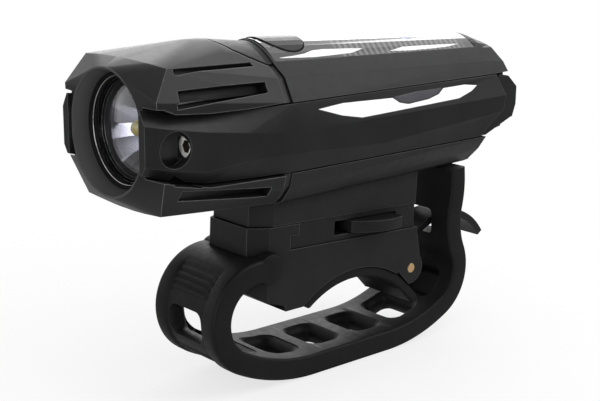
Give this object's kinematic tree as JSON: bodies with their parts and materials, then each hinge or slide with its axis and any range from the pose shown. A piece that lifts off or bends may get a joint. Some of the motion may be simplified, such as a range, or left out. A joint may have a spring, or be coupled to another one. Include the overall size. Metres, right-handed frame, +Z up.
{
  "type": "bicycle headlight",
  "caption": "Torch-shaped bicycle headlight with a recessed lens, side plates with white inlays and a slide-off handlebar bracket held by a hooked rubber strap.",
  "frame": {"origin": "crown of the handlebar cradle, on the liner's rubber face, midway across", "axes": "+Z up, -Y along the beam (the front of the bicycle), +X to the side that carries the release tab"},
  "size_m": [0.0348, 0.1136, 0.0783],
  "materials": {
    "head_metal": "matte black anodised",
    "shell_plastic": "fine matte",
    "side_plastic": "satin",
    "panel_gloss": "gloss",
    "white_inlay": "gloss",
    "marker": "smoked gloss",
    "window": "frosted",
    "button": "satin",
    "bracket_plastic": "fine matte",
    "rubber": "matte",
    "seal": "matte",
    "steel": "bright",
    "brass": "bright",
    "lens": "clear",
    "reflector": "mirror",
    "led": "phosphor",
    "board": "solder mask",
    "sink": "bare",
    "cell": "shrink wrap"
  },
  "bodies": {
    "bracket": {"saddle": "bracket_plastic", "saddle_liner": "rubber", "rail_plate": "bracket_plastic", "rail_screws": "steel", "lever_pin": "steel", "hook_pin": "brass", "strap": "rubber"},
    "light": {"head_shell": "head_metal", "lens_retainer": "head_metal", "lens_seal": "seal", "front_lens": "lens", "reflector": "reflector", "led_emitter": "led", "led_board": "board", "heat_sink": "sink", "gasket_ring": "seal", "upper_shell": "shell_plastic", "lower_shell": "shell_plastic", "side_plate_right": "side_plastic", "side_plate_left": "side_plastic", "side_stripe_right": "white_inlay", "side_stripe_left": "white_inlay", "side_marker_right": "marker", "side_marker_left": "marker", "side_plate_screws": "steel", "top_panel": "panel_gloss", "top_stripes": "white_inlay", "indicator_window": "window", "mode_switch": "panel_gloss", "driver_board": "board", "battery_cell": "cell", "rear_cap": "shell_plastic", "usb_socket": "steel"},
    "strap_hook": {"strap_hook": "bracket_plastic"},
    "release_lever": {"release_lever": "bracket_plastic"},
    "power_button": {"power_button": "button"},
    "port_cover": {"port_cover": "rubber"}
  },
  "joints": [
    {"name": "light_slide", "type": "slide", "parent": "bracket", "child": "light", "axis": [0, -0.9992, 0.0401], "range_m": [0, 0.045]},
    {"name": "release_lever_hinge", "type": "hinge", "parent": "bracket", "child": "release_lever", "pos_m": [0, 0.00488, 0.0128], "axis": [0, -0.0401, -0.9992], "range_deg": [0, 14], "stiffness_Nm_per_rad": 0.05},
    {"name": "strap_hook_hinge", "type": "hinge", "parent": "bracket", "child": "strap_hook", "pos_m": [0, 0.0188, -0.0011], "axis": [1, 0, 0], "range_deg": [-5, 5]},
    {"name": "power_button_press", "type": "slide", "parent": "light", "child": "power_button", "axis": [0, 0, -1], "range_m": [0, 0.0006], "stiffness_N_per_m": 800},
    {"name": "port_cover_hinge", "type": "hinge", "parent": "light", "child": "port_cover", "pos_m": [0, 0.0499, 0.035], "axis": [-1, 0, 0], "range_deg": [0, 100], "stiffness_Nm_per_rad": 0.004}
  ]
}
